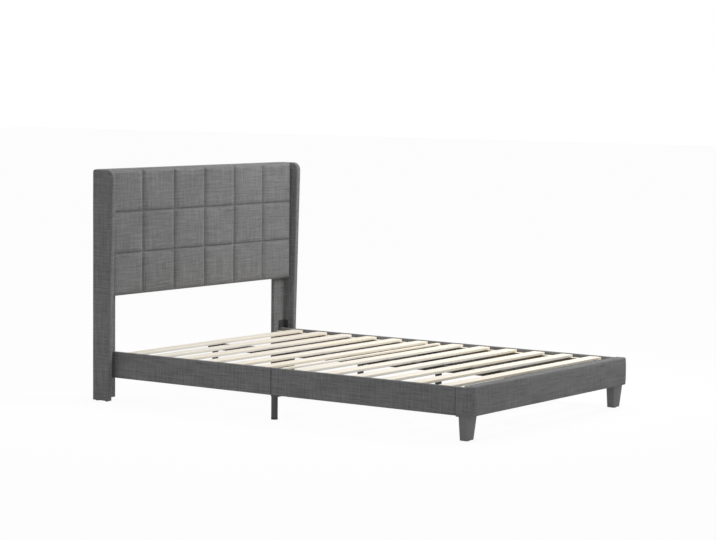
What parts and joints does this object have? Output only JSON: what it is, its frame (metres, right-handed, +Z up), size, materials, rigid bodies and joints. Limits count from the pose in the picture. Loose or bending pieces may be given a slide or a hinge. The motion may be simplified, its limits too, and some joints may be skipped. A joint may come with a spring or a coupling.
{
  "type": "upholstered bed frame",
  "caption": "Upholstered platform bed frame with a square-tufted wing headboard, split side rails, a rounded foot rail, wooden slats and levelling feet.",
  "frame": {"origin": "on the floor, at the middle of the footprint", "axes": "+X across the bed to the right seen from the foot, +Y along the bed towards the headboard, +Z up"},
  "size_m": [1.424, 2.04, 1.065],
  "materials": {
    "fabric": "charcoal grey woven fabric with slubs",
    "foam": "open cell foam",
    "pine": "planed pale pine",
    "ply": "plywood board",
    "black_steel": "black powder coat",
    "zinc": "bright zinc plate",
    "black_plastic": "black moulded plastic",
    "grey_plastic": "dark grey moulded plastic",
    "hook_loop": "black hook and loop tape"
  },
  "bodies": {
    "frame": {"headboard_pad": "fabric", "headboard_board": "ply", "headboard_top_rail": "pine", "headboard_bottom_rail": "pine", "headboard_uprights": "pine", "wing_cleats": "pine", "headboard_back_cover": "fabric", "left_post_board": "ply", "right_post_board": "ply", "left_post_cover": "fabric", "right_post_cover": "fabric", "left_wing_board": "ply", "right_wing_board": "ply", "left_wing_cover": "fabric", "right_wing_cover": "fabric", "left_corner_bracket": "black_steel", "right_corner_bracket": "black_steel", "left_rail_head_board": "ply", "left_rail_foot_board": "ply", "right_rail_head_board": "ply", "right_rail_foot_board": "ply", "left_rail_head_cover": "fabric", "left_rail_foot_cover": "fabric", "right_rail_head_cover": "fabric", "right_rail_foot_cover": "fabric", "slat_ledges": "pine", "left_joint_plate": "black_steel", "right_joint_plate": "black_steel", "foot_rail_board": "ply", "foot_return_boards": "ply", "foot_rail_foam": "foam", "foot_rail_cover": "fabric", "foot_corner_blocks": "pine", "left_foot_leg": "grey_plastic", "right_foot_leg": "grey_plastic", "foot_glides": "black_plastic", "head_glides": "black_plastic", "crossbar": "pine", "head_centre_beam": "black_steel", "foot_centre_beam": "black_steel", "beam_joiner": "zinc", "beam_seat": "black_steel", "centre_legs": "black_steel", "left_mid_leg": "black_steel", "right_mid_leg": "black_steel", "leg_plugs": "black_plastic", "slats_head": "pine", "slats_foot": "pine", "slat_grip_pads": "hook_loop", "bed_bolts": "zinc", "barrel_nuts": "zinc", "bracket_bolts": "black_steel", "wood_screws": "zinc", "leg_studs": "zinc"},
    "left_level_foot_body": {"left_level_foot": "black_plastic"},
    "right_level_foot_body": {"right_level_foot": "black_plastic"},
    "centre_level_foot_1_body": {"centre_level_foot_1": "black_plastic"},
    "centre_level_foot_2_body": {"centre_level_foot_2": "black_plastic"},
    "centre_level_foot_3_body": {"centre_level_foot_3": "black_plastic"},
    "centre_level_foot_4_body": {"centre_level_foot_4": "black_plastic"}
  },
  "joints": [
    {"name": "left_level_foot_screw", "type": "slide", "parent": "frame", "child": "left_level_foot_body", "axis": [0, 0, -1], "range_m": [0, 0.012]},
    {"name": "right_level_foot_screw", "type": "slide", "parent": "frame", "child": "right_level_foot_body", "axis": [0, 0, -1], "range_m": [0, 0.012]},
    {"name": "centre_level_foot_1_screw", "type": "slide", "parent": "frame", "child": "centre_level_foot_1_body", "axis": [0, 0, -1], "range_m": [0, 0.012]},
    {"name": "centre_level_foot_2_screw", "type": "slide", "parent": "frame", "child": "centre_level_foot_2_body", "axis": [0, 0, -1], "range_m": [0, 0.012]},
    {"name": "centre_level_foot_3_screw", "type": "slide", "parent": "frame", "child": "centre_level_foot_3_body", "axis": [0, 0, -1], "range_m": [0, 0.012]},
    {"name": "centre_level_foot_4_screw", "type": "slide", "parent": "frame", "child": "centre_level_foot_4_body", "axis": [0, 0, -1], "range_m": [0, 0.012]}
  ]
}
